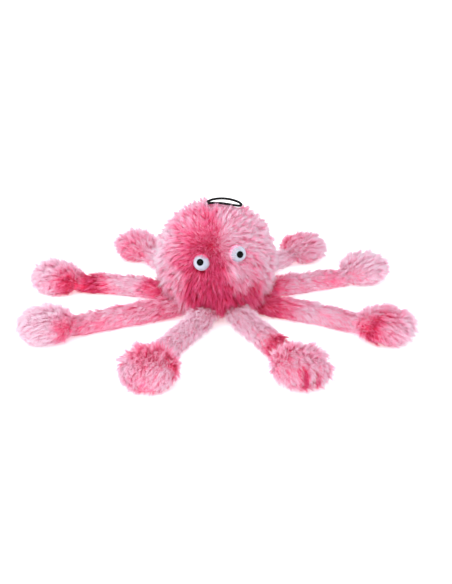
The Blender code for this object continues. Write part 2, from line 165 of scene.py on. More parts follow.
CORD_RADIUS = 0.0012
CORD_ROUTE = np.array([
    (-0.0108, 0.0015, 0.1041),
    (-0.0096, 0.0022, 0.1071),
    (-0.0044, 0.0040, 0.1098),
    (0.0030, 0.0056, 0.1107),
    (0.0110, 0.0060, 0.1103),
    (0.0180, 0.0056, 0.1088),
    (0.0228, 0.0038, 0.1072),
    (0.0246, 0.0002, 0.1062),
    (0.0230, -0.0036, 0.1062),
    (0.0182, -0.0060, 0.1073),
    (0.0110, -0.0066, 0.1087),
    (0.0030, -0.0060, 0.1095),
    (-0.0044, -0.0044, 0.1091),
    (-0.0096, -0.0024, 0.1070),
    (-0.0108, -0.0015, 0.1041),
])
CORD_STEPS = 110
CORD_SIDES = 16
YARN_LENGTH = 0.004  # one turn of a braid's yarn, a little under two diameters
YARNS_IN_A_TURN = 2
WAVE_LENGTH = 2 * np.pi / 20  # one wave of the wave texture at a scale of 1
UP = np.array([0.0, 0.0, 1.0])
MERGE = 1e-6  # points nearer than this are one point


def wire(shader, colour, normal=None):
    """Leads a colour, and a normal where there is one, into a material's shader."""
    links = shader.id_data.links
    links.new(colour, shader.inputs["Base Color"])
    if normal is not None:
        links.new(normal, shader.inputs["Normal"])


def cubic(stops, places, slopes, at):
    """The cubic that passes through the places at their stops, with the slope given at each."""
    low = np.clip(np.searchsorted(stops, at) - 1, 0, len(stops) - 2)
    span = (stops[low + 1] - stops[low])[..., None]
    t = (at - stops[low])[..., None] / span
    return (
        places[low] * (1 - 3 * t**2 + 2 * t**3)
        + places[low + 1] * (3 * t**2 - 2 * t**3)
        + slopes[low] * span * (t - 2 * t**2 + t**3)
        + slopes[low + 1] * span * (t**3 - t**2)
    )


def smooth(stops, values, at):
    """A cubic through known values: the slope at each is the mean of the slopes beside it."""
    stops, values = np.asarray(stops, float), np.asarray(values, float)
    values = values.reshape(len(stops), -1)
    rise = np.diff(values, axis=0) / np.diff(stops)[:, None]
    slopes = np.concatenate([rise[:1], (rise[1:] + rise[:-1]) / 2, rise[-1:]])
    found = cubic(stops, values, slopes, np.asarray(at, float))
    return found[..., 0] if values.shape[1] == 1 else found


def unit(arrows):
    """Each arrow divided by its length."""
    return arrows / np.maximum(np.linalg.norm(arrows, axis=-1, keepdims=True), 1e-12)


def surface(name, points, material, around=True):
    """A mesh from a grid of points: four neighbours make a face, and rows that meet in a point close."""
    rows, columns = points.shape[:2]
    index = np.arange(rows * columns).reshape(rows, columns)
    if around:
        index = np.concatenate([index, index[:, :1]], axis=1)
    square = (index[:-1, :-1], index[:-1, 1:], index[1:, 1:], index[1:, :-1])
    mesh = bpy.data.meshes.new(name)
    faces = np.stack(square, -1).reshape(-1, 4)
    mesh.from_pydata(points.reshape(-1, 3).tolist(), [], faces.tolist())
    shape = bmesh.new()
    shape.from_mesh(mesh)
    bmesh.ops.remove_doubles(shape, verts=shape.verts, dist=MERGE)
    bmesh.ops.recalc_face_normals(shape, faces=shape.faces)
    shape.to_mesh(mesh)
    shape.free()
    mesh.shade_smooth()
    mesh.materials.append(material)
    piece = bpy.data.objects.new(name, mesh)
    bpy.context.scene.collection.objects.link(piece)
    return piece


def tube(name, path, radius, sides, material):
    """A round tube with flat ends: rings square to the path, each turned as little as can be."""
    way = unit(np.gradient(path, axis=0))
    side = unit(np.cross(way, UP))
    rise = np.cross(side, way)
    turn = np.linspace(0, 2 * np.pi, sides, endpoint=False)[None, :, None]
    rings = path[:, None] + radius * (np.cos(turn) * side[:, None] + np.sin(turn) * rise[:, None])
    ends = [np.repeat(path[at][None, None], sides, 1) for at in (0, -1)]
    return surface(name, np.concatenate([ends[0], rings, ends[1]]), material)


knots = np.concatenate([[0], np.cumsum(np.linalg.norm(np.diff(CORD_ROUTE, axis=0), axis=1))])
cord_path = smooth(knots, CORD_ROUTE, np.linspace(0, knots[-1], CORD_STEPS))

# Black polyester braid: dull, and painted a little lighter where each yarn stands up, a
# painted highlight on the yarns' crests. The yarns are too fine to see here, so two
# crossing waves stand for them.
braid, shader = finish_of("braided_polyester_cord", "#050506", Roughness=0.75)
shader.inputs["Specular IOR Level"].default_value = 0.2
where = add(braid, "ShaderNodeTexCoord")
yarns = [
    add(
        braid,
        "ShaderNodeTexWave",
        {
            "Vector": where.outputs["Object"],
            "Scale": WAVE_LENGTH / YARN_LENGTH * YARNS_IN_A_TURN,
        },
        wave_type="BANDS",
        bands_direction=axis,
    )
    for axis in ("DIAGONAL", "X")
]
crossed = add(
    braid,
    "ShaderNodeMath",
    {0: yarns[0].outputs["Fac"], 1: yarns[1].outputs["Fac"]},
    operation="MAXIMUM",
)
# Lighter on the crossed crests: a painted highlight.
braid_colour_and_highlight = add(
    braid,
    "ShaderNodeValToRGB",
    {"Fac": crossed.outputs[0]},
    stops=((0.2, "#020203"), (1.0, "#0f0e11")),
)
raised = add(
    braid,
    "ShaderNodeBump",
    {"Height": crossed.outputs[0], "Strength": 0.5, "Distance": 0.0002},
)
wire(shader, braid_colour_and_highlight.outputs["Color"], raised.outputs["Normal"])

hanging_loop = tube("hanging_loop", cord_path, CORD_RADIUS, CORD_SIDES, braid)
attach(hanging_loop, "loop")
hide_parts("hang_loop")


# Inside the head: a blown squeaker with its reed, and a washer on each eye's shank.
# They are moulded plastic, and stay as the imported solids: only their finish is added.

def moulded(name, colour, shade, roughness, ior, grain):
    """Moulded plastic: a faint cloudy change of colour, and a fine roughness left by the mould."""
    material, shader = finish_of(name, colour, Roughness=roughness, IOR=ior)
    where = add(material, "ShaderNodeTexCoord")
    cloud = add(
        material,
        "ShaderNodeTexNoise",
        {"Vector": where.outputs["Object"], "Scale": 1 / grain, "Detail": 3},
    )
    ramp = add(
        material,
        "ShaderNodeValToRGB",
        {"Fac": cloud.outputs["Fac"]},
        stops=((0.35, shade), (0.65, colour)),
    )
    bump = add(
        material,
        "ShaderNodeBump",
        {"Height": cloud.outputs["Fac"], "Strength": 0.15, "Distance": 0.0001},
    )
    wire(shader, ramp.outputs["Color"], bump.outputs["Normal"])
    return material


inside = {
    "squeaker_bladder": moulded("blown_polyethylene", "#dfe6ea", "#cfd8de", 0.4, 1.51, 0.004),
    "squeaker_reed": moulded("moulded_abs_reed", "#f2f0ea", "#e4e1d8", 0.4, 1.54, 0.002),
    "eye_washer_left": moulded("moulded_nylon_washer", "#e3e1da", "#d3d0c6", 0.5, 1.53, 0.002),
}
inside["eye_washer_right"] = inside["eye_washer_left"]
for node, material in inside.items():
    slots = frame["nodes"][node].material_slots
    for slot in slots:
        slot.material = material
    if not slots:
        frame["nodes"][node].data.materials.append(material)


# Head cover and filling: knitted backing cut as a left, a right and a base panel, over a
# ball of polyester fibre. The backing is dyed with the pile, so it has the pile's colours,
# as deep as its roots: partly the dye, partly painted shade for the depth between the locks.

HEAD_RADIUS = 0.0515
HEAD_HEIGHT = 0.1035
HEAD_FLAT = 0.0005  # the ball would reach this far below the floor, where it is pressed flat
HEAD_SQUARENESS = 2.15
HEAD_REST = 0.0002  # the pressed flat underside is this high
LEG_SEAM_HEIGHT = 0.014
BACKING = 0.0016
KNIT_LOOP = 0.0008
HEAD_HALF = (HEAD_HEIGHT + HEAD_FLAT) / 2
HEAD_MIDDLE = HEAD_HEIGHT - HEAD_HALF
SEAM_LEAN = -math.asin(((HEAD_MIDDLE - LEG_SEAM_HEIGHT) / HEAD_HALF) ** (HEAD_SQUARENESS / 2))
UPPER_STEPS, BASE_STEPS, LEAN_STEPS = 37, 72, 30
FILLING_GAP = 0.0004
FILLING_STEPS = (64, 40)
FILLING_CLUMP = 0.006
WAVE_COUNT = 12
WAVE_SIZES = (0.7, 1.5)  # how long the shortest and longest waves are, as shares of the size
WAVE_GAIN = 2.2

# Dye on the head: turn from the front and rise in degrees, spread in degrees, tone. Tone 0
# is the palest lavender pink, 0.5 a mid pink, 0.8 hot pink and 1 a deep red pink.
HEAD_DYE = (
    (-85, 15, 30, 0.0),
    (-60, 60, 22, 0.34),
    (-40, 42, 18, 0.66),
    (-16, 60, 14, 0.9),
    (-8, 44, 12, 0.9),
    (-28, 26, 12, 1.0),
    (-4, 30, 9, 1.0),
    (-48, 24, 13, 0.54),
    (-16, -8, 15, 1.02),
    (-3, -24, 17, 1.2),
    (8, 8, 8, 1.1),
    (9, -6, 9, 1.1),
    (-5, 14, 9, 0.95),
    (-46, -14, 16, 0.46),
    (-66, -30, 18, 0.34),
    (14, 20, 5, 0.0),
    (14, 38, 10, 0.24),
    (48, 58, 26, 0.28),
    (64, 30, 22, 0.12),
    (38, 12, 11, 0.4),
    (45, -10, 14, 0.58),
    (36, -22, 12, 1.0),
    (16, -26, 12, 1.1),
    (24, 4, 8, 0.34),
    (30, -14, 8, 0.7),
    (68, 0, 20, 0.12),
    (120, 10, 30, 0.30),
    (150, 45, 28, 0.62),
    (180, 5, 28, 0.40),
    (-150, 35, 28, 0.55),
    (-120, 5, 26, 0.22),
    (-165, -25, 24, 0.74),
    (130, -25, 24, 0.66),
)

# Between the spots each panel has a tone of its own, left and right. Waves, by their size
# and reach, bend the dye's edges, fray them at the middle seam and cloud the whole. Little
# of a spot's dye crosses that seam.
PANEL_TONES = (0.48, 0.24)
PANEL_WEIGHT = 0.05
DYE_WANDER = (0.022, 0.13)
DYE_CLOUD = (0.011, 0.05)
SEAM_FRAY = (0.009, 0.003)
SEAM_BLUR = 0.004
SEAM_CROSSED = 0.12


def head_form(turn, lean):
    """A superellipse turned about the upright axis: the turn is counted from the front and the
    lean from the widest line."""
    radius = HEAD_RADIUS * np.abs(np.cos(lean)) ** (2 / HEAD_SQUARENESS)
    height = np.sign(lean) * np.abs(np.sin(lean)) ** (2 / HEAD_SQUARENESS) * HEAD_HALF
    height = np.maximum(HEAD_MIDDLE + height, HEAD_REST)
    return np.stack([radius * np.sin(turn), -radius * np.cos(turn), height], -1)


def waves(points, size, seed):
    """Smooth noise near -1 to 1: the mean of sine waves in random directions, each about size long."""
    chance = np.random.default_rng(seed)
    ways = unit(chance.normal(size=(WAVE_COUNT, 3))) * 2 * np.pi
    ways = ways / (size * chance.uniform(*WAVE_SIZES, (WAVE_COUNT, 1)))
    return np.sin(points @ ways.T + chance.uniform(0, 2 * np.pi, WAVE_COUNT)).mean(-1) * WAVE_GAIN


def drift(points, size, seed):
    """An arrow at each point, whose three parts are waves of their own."""
    return np.stack([waves(points, size, seed + axis) for axis in range(3)], -1)


def head_dye(points):
    """The tone at a place on the head: each dye spot's tone, weighted by exp(-(distance / spread)^2)."""
    spots = np.array(HEAD_DYE)
    turn, rise, spread = np.radians(spots[:, :3]).T
    out = unit(points - [0, 0, HEAD_MIDDLE])
    size, reach = DYE_WANDER
    bent = unit(out + drift(points, size, 31) * reach)
    apart = np.arccos(np.clip(bent @ direction(turn, rise).T, -1, 1))
    weight = np.exp(-((apart / spread) ** 2)) + 1e-9
    size, reach = SEAM_FRAY
    across = points[..., :1] + reach * waves(points, size, 35)[..., None]
    own = np.clip(across * np.sign(turn) / SEAM_BLUR + 0.5, 0, 1)
    weight *= SEAM_CROSSED + (1 - SEAM_CROSSED) * own
    panel = np.where(points[..., 0] < 0, *PANEL_TONES)
    tone = (weight @ spots[:, 3] + PANEL_WEIGHT * panel) / (weight.sum(-1) + PANEL_WEIGHT)
    size, reach = DYE_CLOUD
    return tone + reach * waves(points, size, 34)


def dyed(material_name, roughness):
    """Knitted backing, tinted by the tone that each point of the piece holds, ribbed by its loops."""
    material, shader = finish_of(material_name, Roughness=roughness, Sheen_Weight=0.2)
    tone = add(material, "ShaderNodeAttribute", attribute_name="dye")
    # Colours as deep as the pile's roots: partly the dye, partly painted shade seen between the locks.
    ramp = add(
        material,
        "ShaderNodeValToRGB",
        {"Fac": tone.outputs["Fac"]},
        stops=((0.0, "#f9a0bd"), (0.4, "#fb6592"), (0.75, "#f02c62"), (1.0, "#c90f3a")),
    )
    where = add(material, "ShaderNodeTexCoord")
    loops = add(
        material,
        "ShaderNodeTexVoronoi",
        {"Vector": where.outputs["Object"], "Scale": 1 / KNIT_LOOP},
    )
    bump = add(
        material,
        "ShaderNodeBump",
        {"Height": loops.outputs["Distance"], "Strength": 0.4, "Distance": 0.0003},
    )
    wire(shader, ramp.outputs["Color"], bump.outputs["Normal"])
    return material


def set_dye(piece, tones):
    """Stores the dye's tone at each point of a piece, from the tone at its place."""
    places = np.zeros(len(piece.data.vertices) * 3, np.float32)
    piece.data.vertices.foreach_get("co", places)
    held = piece.data.attributes.new("dye", "FLOAT", "POINT")
    held.data.foreach_set("value", np.clip(tones(places.reshape(-1, 3)), 0, 1).astype(np.float32))


backing = dyed("knitted_polyester_backing", 0.9)
HEAD_PANELS = {
    "left": ((-np.pi, 0), (SEAM_LEAN, np.pi / 2), "head_cover_left", "head_fur_left"),
    "right": ((0, np.pi), (SEAM_LEAN, np.pi / 2), "head_cover_right", "head_fur_right"),
    "base": ((-np.pi, np.pi), (-np.pi / 2, SEAM_LEAN), "head_base", "base_fur"),
}
for panel, (turns, leans, node, slot) in HEAD_PANELS.items():
    whole = panel == "base"
    turn = np.linspace(*turns, BASE_STEPS if whole else UPPER_STEPS, endpoint=not whole)
    lean = np.linspace(*leans, LEAN_STEPS)
    piece = surface("head_backing_" + panel, head_form(*np.meshgrid(turn, lean)), backing, whole)
    set_dye(piece, head_dye)
    wall = piece.modifiers.new("backing", "SOLIDIFY")
    wall.thickness = BACKING
    wall.offset = -1
    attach(piece, "head")
    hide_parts(node)

# Polyester fibre filling: matt off-white, in soft clumps.
fibre, shader = finish_of("polyester_fibre_filling", "#efeee8", Roughness=1.0, Sheen_Weight=0.3)
where = add(fibre, "ShaderNodeTexCoord")
clumps = add(
    fibre,
    "ShaderNodeTexNoise",
    {"Vector": where.outputs["Object"], "Scale": 1 / FILLING_CLUMP},
)
cloud = add(
    fibre,
    "ShaderNodeValToRGB",
    {"Fac": clumps.outputs["Fac"]},
    stops=((0.3, "#dedcd4"), (0.7, "#f5f4ef")),
)
wire(shader, cloud.outputs["Color"])
turn = np.linspace(-np.pi, np.pi, FILLING_STEPS[0], endpoint=False)
lean = np.linspace(-np.pi / 2, np.pi / 2, FILLING_STEPS[1])
middle = np.array([0, 0, HEAD_MIDDLE])
shrunk = 1 - (BACKING + FILLING_GAP) / HEAD_RADIUS
ball = middle + (head_form(*np.meshgrid(turn, lean)) - middle) * shrunk
filling = surface("head_filling", ball, fibre)
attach(filling, "head")
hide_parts("head_stuffing")


# Eyes: a turned ball of white plastic with a black pupil pressed into its front. The shank
# behind it goes through the cover and its washer. Both parts turn with the eye.

EYE_RADIUS = 0.0075
EYE_BACK = 0.0045
PUPIL_RADIUS = 0.003
PUPIL_DEPTH = 0.001
PUPIL_PROUD = 0.0001  # its middle stands this far out of the ball, and its rim this far in
SHANK_RADIUS = 0.002
SHANK_LENGTH = 0.0086
FIT = 0.0003
MOUTH = PUPIL_RADIUS + FIT
EYE_FRONT = EYE_BACK + math.sqrt(EYE_RADIUS**2 - MOUTH**2)
EYE_STEPS, PUPIL_STEPS, ARC_STEPS, DOME_STEPS = 48, 40, 22, 8


def lathe(name, profile, place, look, steps, material):
    """A profile of (radius, distance forward) points turned about the line of sight."""
    profile = np.array(profile, float)[..., None, None]
    side = unit(np.cross(look, UP))
    rise = np.cross(side, look)
    turn = np.linspace(0, 2 * np.pi, steps, endpoint=False)[None, :, None]
    out = np.cos(turn) * side + np.sin(turn) * rise
    return surface(name, place + profile[:, 1] * look + profile[:, 0] * out, material)


def eye_arc(start, stop, count):
    """Points round the ball from one angle to another, by its centre and radius."""
    lean = np.linspace(start, stop, count)
    return list(zip(EYE_RADIUS * np.cos(lean), EYE_BACK + EYE_RADIUS * np.sin(lean)))


seat = EYE_FRONT - PUPIL_DEPTH
ball = [(0, seat), (MOUTH, seat)]
ball += eye_arc(math.acos(MOUTH / EYE_RADIUS), -math.asin(EYE_BACK / EYE_RADIUS), ARC_STEPS)
ball += [(SHANK_RADIUS, 0), (SHANK_RADIUS, -SHANK_LENGTH), (0, -SHANK_LENGTH)]
rim = EYE_FRONT - PUPIL_PROUD
swell = EYE_BACK + EYE_RADIUS + PUPIL_PROUD - rim
pupil = [(PUPIL_RADIUS * t, rim + swell * (1 - t**2)) for t in np.linspace(0, 1, DOME_STEPS)]
pupil += [(PUPIL_RADIUS, seat + FIT), (0, seat + FIT)]

# The white plastic is coloured a light grey blue rather than white: painted shade for balls sunk in the
# fur.
white = moulded("polished_white_plastic", "#b4bcc9", "#a6afbe", 0.25, 1.54, 0.006)
black = moulded("polished_black_plastic", "#020202", "#040405", 0.1, 1.4, 0.003)
black.node_tree.nodes["Principled BSDF"].inputs["Specular IOR Level"].default_value = 0.12
joints = {joint["name"]: joint for joint in frame["joints"]}
eyes = []
for name, joint in joints.items():
    if not name.startswith("eye_turn"):
        continue
    eye = joint["child"]
    place, look = np.array(joint["pos_m"]), unit(np.array(joint["axis"], float))
    eyes.append((place + look * EYE_BACK, look))
    piece = lathe(eye + "_white", ball, place, look, EYE_STEPS, white)
    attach(piece, eye)
    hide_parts(eye.replace("eye", "eye_ball"))
    piece = lathe(eye + "_pupil", pupil, place, look, PUPIL_STEPS, black)
    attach(piece, eye)
    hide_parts(eye.replace("eye", "pupil"))


# Head pile: acrylic fibres 11 to 16 mm long, knitted into the backing. They run out from a
# whorl between the eyes, gather in locks 2 mm wide and 5 mm long, and hang lower down.

WHORL = (-5.3, 31.5)  # turn and rise in degrees
WHORL_TUBE = 0.8  # the locks' map is a tube round the whorl, this share of the head in radius
LOCK = 0.0017
LOCK_STRETCH = 0.36  # a lock's width is this share of its length
LOCK_SEED, TURN_SEED, STAND_SEED, REACH_SEED = 5, 11, 12, 13
STEP = 1e-4  # a small step, in metres or radians, over which a slope is taken
SCATTER_CELLS = (90, 60)
FACING_DOWN = -0.8  # pile whose outward direction is lower than this lies under the toy

# A fibre: its root is sunk in the backing, it bends at a share of its length, and its
# points draw in to the lock's middle line and droop by shares.
SUNK = 0.0009
BEND = 0.45
GATHER = np.array([0.0, 0.2, 0.75])
GRIP = (0.5, 1.1)
DROOP = 0.1
JITTER = 0.00022

# How locks and fibres differ. Turns are in radians and rises in degrees. STRAY_TURN times
# its own turn is added to a stray fibre, and a wild lock stands up and reaches further.
LOCK_TURN, FIBRE_TURN, STRAY_TURN = 0.5, 0.12, 3
LOCK_RISE, FIBRE_RISE, STRAY_RISE = 34, 6, 20
COMBED_DOWN = 10
STRAY_SHARE = 0.06
REACH_LEAST, REACH_MORE, REACH_WILD = 0.78, 0.2, 0.3
REACH_OWN = (0.8, 1.1)

# The lowest that a fibre rests above the floor and how much higher it may rest, first
# under the toy, then beside it.
REST_LOWEST = (0.0002, 0.0004)
REST_HIGHER = (0.0001, 0.0012)
ROOT_REST = 0.0003

# The chart OFBake: tones and lengths keep off its edges, and a fibre is this wide on it.
TONES = (0.01, 0.985)
TONE_WIDTH = 0.0015
CHART_EDGE = 0.002

# Pile on the head. Sparse is a height, and how much pile grows below it. Leans are in
# degrees for both stretches, with what the whorl adds and what low pile adds.
HEAD_SPARSE = (0.01, 0.5)
HEAD_LEANS = ((38, 14, -10), (18, 22, -10))
HEAD_LENGTH, LOW_LONGER = 0.0108, 0.0052
HEAD_WIDTHS = (0.00012, 0.0002)
HEAD_WILD = 1.45
HEAD_TUFTS = ((0.02, 0.32), (0.008, 0.36))  # size and share of the waves that turn the tufts
HEAD_TONE_SEED = 21
HEAD_TONE_LOCK, HEAD_TONE_FIBRE = 0.4, 0.11
HANG_LEAST, HANG_MORE = 0.15, 0.75
HANG_HEIGHTS = (0.06, 0.02)
LOW_HEIGHTS = (0.04, 0.018)
CROSSING = 0.8
CROSSING_DEGREES = (6, 26)
WHORL_DEGREES = (8, 30)
SEWN_SPREAD, SEWN_RISE = 0.006, 30
BRUSHED = np.array([0.0105, -0.0495, 0.061])
BRUSHED_SPREAD, BRUSHED_LONGER, BRUSHED_PALER = 0.0055, 0.8, 0.5

# Pile round an eye: how near the line of sight it may end, how much further out some ends
# stop, how near it has to be rooted to climb the ball, and how near not to grow at all.
EYE_CLEAR = 0.0036
EYE_COVER = 0.0022
EYE_BESIDE = 0.0145
EYE_UNDER = 0.0055
EYE_GAP, EYE_TIP_GAP, EYE_BEND_GAP = 0.0005, 0.0006, 0.0007
CLIMB_BEND = 0.4
CLIMB_WIDTH = 2.4

# The crown's pressed patch, and the cord's stretch that presses it, in steps of its path.
FLAT_MIDDLE = np.array([0.0095, 0.019])
FLAT_SIZE = np.array([0.024, 0.034])
FLAT_PILE = 0.0011
FREE_PILE = 0.1
CROWN_RISE = 0.02
SEWN_STEPS, PRESS_STEPS = 24, 5
PRESS_REACH = 0.004
CORD_GAP = 0.0005


def facing(form, around, along):
    """The outward direction: the cross product of the surface's two slopes."""
    across = form(around + STEP, along) - form(around - STEP, along)
    up = form(around, along + STEP) - form(around, along - STEP)
    return unit(np.cross(across, up))


def hashed(cells, seed):
    """Repeatable random numbers from 0 to 1 for whole-number cells, mixed with large odd numbers."""
    mixed = cells.astype(np.int64) @ np.array([73856093, 19349663, 83492791]) + seed * 668265263
    for shift in (15, 12, 14):
        mixed &= 0xFFFFFFFF
        mixed = (mixed ^ (mixed >> shift)) * 739982445
    return (mixed & 0xFFFFFFFF) / 2**32


def locks(points, size, seed):
    """The lock that each root belongs to: each cube of the map has one random centre, and the
    nearest centre gathers it."""
    cell = np.floor(points / size)
    nearest = np.full(len(points), np.inf)
    home = np.zeros_like(points)
    for step in np.ndindex(3, 3, 3):
        near = cell + step - 1
        middle = (near + np.stack([hashed(near, seed + axis) for axis in range(3)], 1)) * size
        apart = ((middle - points) ** 2).sum(1)
        closer = apart < nearest
        nearest[closer], home[closer] = apart[closer], near[closer]
    return home


def scatter(form, around, along, count, seed, sparse):
    """Roots spread by area: the surface is cut into cells, and each holds its area's share,
    which is less below the sparse height."""
    rows, columns = SCATTER_CELLS
    u, v = np.linspace(*around, columns + 1), np.linspace(*along, rows + 1)
    corners = form(*np.meshgrid(u, v))
    diagonals = corners[1:, 1:] - corners[:-1, :-1], corners[1:, :-1] - corners[:-1, 1:]
    area = np.linalg.norm(np.cross(*diagonals), axis=-1) / 2
    height = ((corners[1:, 1:] + corners[:-1, :-1]) / 2)[..., 2]
    run = np.cumsum((area * np.where(height > sparse[0], 1, sparse[1])).ravel())
    chance = np.random.default_rng(seed)
    pick = np.searchsorted(run / run[-1], (np.arange(count) + chance.random(count)) / count)
    row, column = np.divmod(pick, columns)
    return (
        u[column] + chance.random(count) * (u[1] - u[0]),
        v[row] + chance.random(count) * (v[1] - v[0]),
    )


def lean_angles(table, first, second):
    """How far both stretches lean off the backing: a table's degrees, and its changes by two shares."""
    return np.radians(np.stack([base + a * first + b * second for base, a, b in table], 1))


def comb(roots, outward, lay, chart, length, leans, seed, wild):
    """Fibres of three points: root, bend and tip. Each of both stretches leans off the
    backing by its own angle, turned with its lock and a little by itself, and the tips
    draw in to the lock's middle line, droop, and stop above the floor. The chart places
    the roots on a map where the locks, which are long, are round. Where wild is high,
    some locks stand up and reach out more."""
    count = len(roots)
    chance = np.random.default_rng(seed)
    home = locks(chart, LOCK, LOCK_SEED)
    member = np.unique(home, axis=0, return_inverse=True)[1].ravel()
    centre = np.stack([np.bincount(member, roots[:, axis]) for axis in range(3)], 1)
    centre = (centre / np.bincount(member)[:, None])[member]
    stray = chance.random(count) < STRAY_SHARE
    swing = (hashed(home, TURN_SEED) - 0.5) * LOCK_TURN
    swing = swing + chance.normal(0, FIBRE_TURN, count) * (1 + STRAY_TURN * stray)
    stand = hashed(home, STAND_SEED)
    lift = LOCK_RISE * wild * stand**2 - COMBED_DOWN + chance.normal(0, FIBRE_RISE, count)
    lift = np.radians(lift + STRAY_RISE * stray)
    share = REACH_LEAST + REACH_MORE * hashed(home, REACH_SEED) + REACH_WILD * wild * stand**3
    reach = length * share * chance.uniform(*REACH_OWN, count)
    across = np.cross(outward, lay)
    way = lay * np.cos(swing)[:, None] + across * np.sin(swing)[:, None]
    points = [roots - outward * SUNK]
    for part, lean in zip((BEND, 1 - BEND), leans.T):
        angle = lean + lift
        stretch = way * np.cos(angle)[:, None] + outward * np.sin(angle)[:, None]
        points.append(points[-1] + stretch * (reach * part)[:, None])
    points = np.stack(points, 1)
    inward = centre - roots
    for axis in (outward, lay):
        inward -= axis * (inward * axis).sum(1, keepdims=True)
    grip = chance.uniform(*GRIP, count)[:, None, None]
    points += inward[:, None] * GATHER[None, :, None] * grip
    run = np.array([0, BEND, 1.0])
    points[:, :, 2] -= (reach * DROOP)[:, None] * run**2
    points[:, 1:] += chance.normal(0, JITTER, (count, 2, 3))
    flat = outward[:, 2:] < FACING_DOWN
    higher = chance.uniform(0, 1, (count, 1)) * np.where(flat, *REST_HIGHER)
    points[:, 1:, 2] = np.maximum(points[:, 1:, 2], np.where(flat, *REST_LOWEST) + higher)
    points[:, 0, 2] = np.maximum(points[:, 0, 2], ROOT_REST)
    return points, home


def strands(name, points, outward, width, tone, material):
    """Closed three-sided spindles: a point at the root, three corners at the bend and a point
    at the tip. The map OFBake holds the dye's tone across and root to tip along."""
    count = len(points)
    way = unit(points[:, 2] - points[:, 0])
    side = unit(np.cross(way, outward))
    rise = np.cross(side, way)
    corners = [points[:, 0]]
    for turn in np.radians((90, 210, 330)):
        arm = side * np.cos(turn) - rise * np.sin(turn)
        corners.append(points[:, 1] + arm * width[:, None])
    corners.append(points[:, 2])
    places = np.stack(corners, 1).reshape(-1, 3)
    faces, at = [], []
    for first, second in ((1, 2), (2, 3), (3, 1)):
        faces += [(0, second, first), (first, second, 4)]
        at += [(0.5, 0), (1, BEND), (0, BEND), (0, BEND), (1, BEND), (0.5, 1)]
    sizes = np.tile([len(face) for face in faces], count)
    loop = np.concatenate(faces)
    vertices = (np.arange(count)[:, None] * len(corners) + loop).ravel()
    mesh = bpy.data.meshes.new(name)
    mesh.vertices.add(count * len(corners))
    mesh.vertices.foreach_set("co", places.astype(np.float32).ravel())
    mesh.loops.add(len(vertices))
    mesh.loops.foreach_set("vertex_index", vertices.astype(np.int32))
    mesh.polygons.add(len(sizes))
    starts = np.concatenate([[0], np.cumsum(sizes)[:-1]])
    mesh.polygons.foreach_set("loop_start", starts.astype(np.int32))
    mesh.update(calc_edges=True)
    mesh.shade_smooth()

    # The first eight fibres take the whole range of tones, so that each piece's chart spans it.
    at = np.array(at)
    spread = np.empty((count, len(at), 2), np.float32)
    tone = np.clip(tone, *TONES)
    tone[:8] = np.linspace(*TONES, 8)[: len(tone)]
    spread[..., 0] = tone[:, None] + (at[:, 0] - 0.5) * TONE_WIDTH
    spread[..., 1] = CHART_EDGE + (1 - 2 * CHART_EDGE) * at[:, 1]
    chart = mesh.uv_layers.new(name="OFBake")
    chart.data.foreach_set("uv", spread.ravel())
    mesh.materials.append(material)
    piece = bpy.data.objects.new(name, mesh)
    bpy.context.scene.collection.objects.link(piece)
    return piece


# Acrylic pile, tie-dyed: deep and saturated at the root, paler at the tip where the dye
# took less; the deeper roots are also painted shade for the depth of the pile. Fine
# fibres scatter light, so the finish is matt. The fibres give off a faint red glow: painted
# light, standing in for light that passes through and bounces among the fibres.
pile, shader = finish_of("tie_dyed_acrylic_pile", Roughness=0.7, Emission_Strength=0.06)
shader.inputs["Emission Color"].default_value = linear("#ff2a58")
shader.inputs["Specular IOR Level"].default_value = 0.15
chart = add(pile, "ShaderNodeUVMap", uv_map="OFBake")
parts = add(pile, "ShaderNodeSeparateXYZ", {"Vector": chart.outputs["UV"]})
tone_stops = (0.0, 0.22, 0.45, 0.65, 0.82, 1.0)
tip_colours = ("#f4edf6", "#f4e1ee", "#f4cae0", "#f5aecd", "#f685b3", "#ee4f88")
# Root colours: the dye, deepened as painted shade for the depth of the pile.
root_and_shade_colours = ("#fac6df", "#faa3c7", "#fb6ca1", "#fa3578", "#e60f4c", "#b0032c")
tips, root_ramp_with_shade = [
    add(
        pile,
        "ShaderNodeValToRGB",
        {"Fac": parts.outputs["X"]},
        stops=tuple(zip(tone_stops, colours)),
    )
    for colours in (tip_colours, root_and_shade_colours)
]
fade = add(
    pile,
    "ShaderNodeMapRange",
    {"Value": parts.outputs["Y"], "From Min": 0.2, "From Max": 1.0},
    interpolation_type="SMOOTHSTEP",
)
# The mix node's sockets 0, 6 and 7 are its factor and its two colours.
blend = add(
    pile,
    "ShaderNodeMix",
    {0: fade.outputs["Result"], 6: root_ramp_with_shade.outputs["Color"], 7: tips.outputs["Color"]},
    data_type="RGBA",
)
wire(shader, blend.outputs[2])

whorl = direction(*np.radians(WHORL))


def ramp_between(value, start, stop):
    """0 before start, 1 past stop, and a smooth step between. Start may be the higher one."""
    t = np.clip((value - start) / (stop - start), 0, 1)
    return t * t * (3 - 2 * t)


def closeness(places, spot, spread):
    """1 at the spot, and less away from it by exp(-(distance / spread)^2)."""
    return np.exp(-((places - spot) ** 2).sum(1) / spread**2)


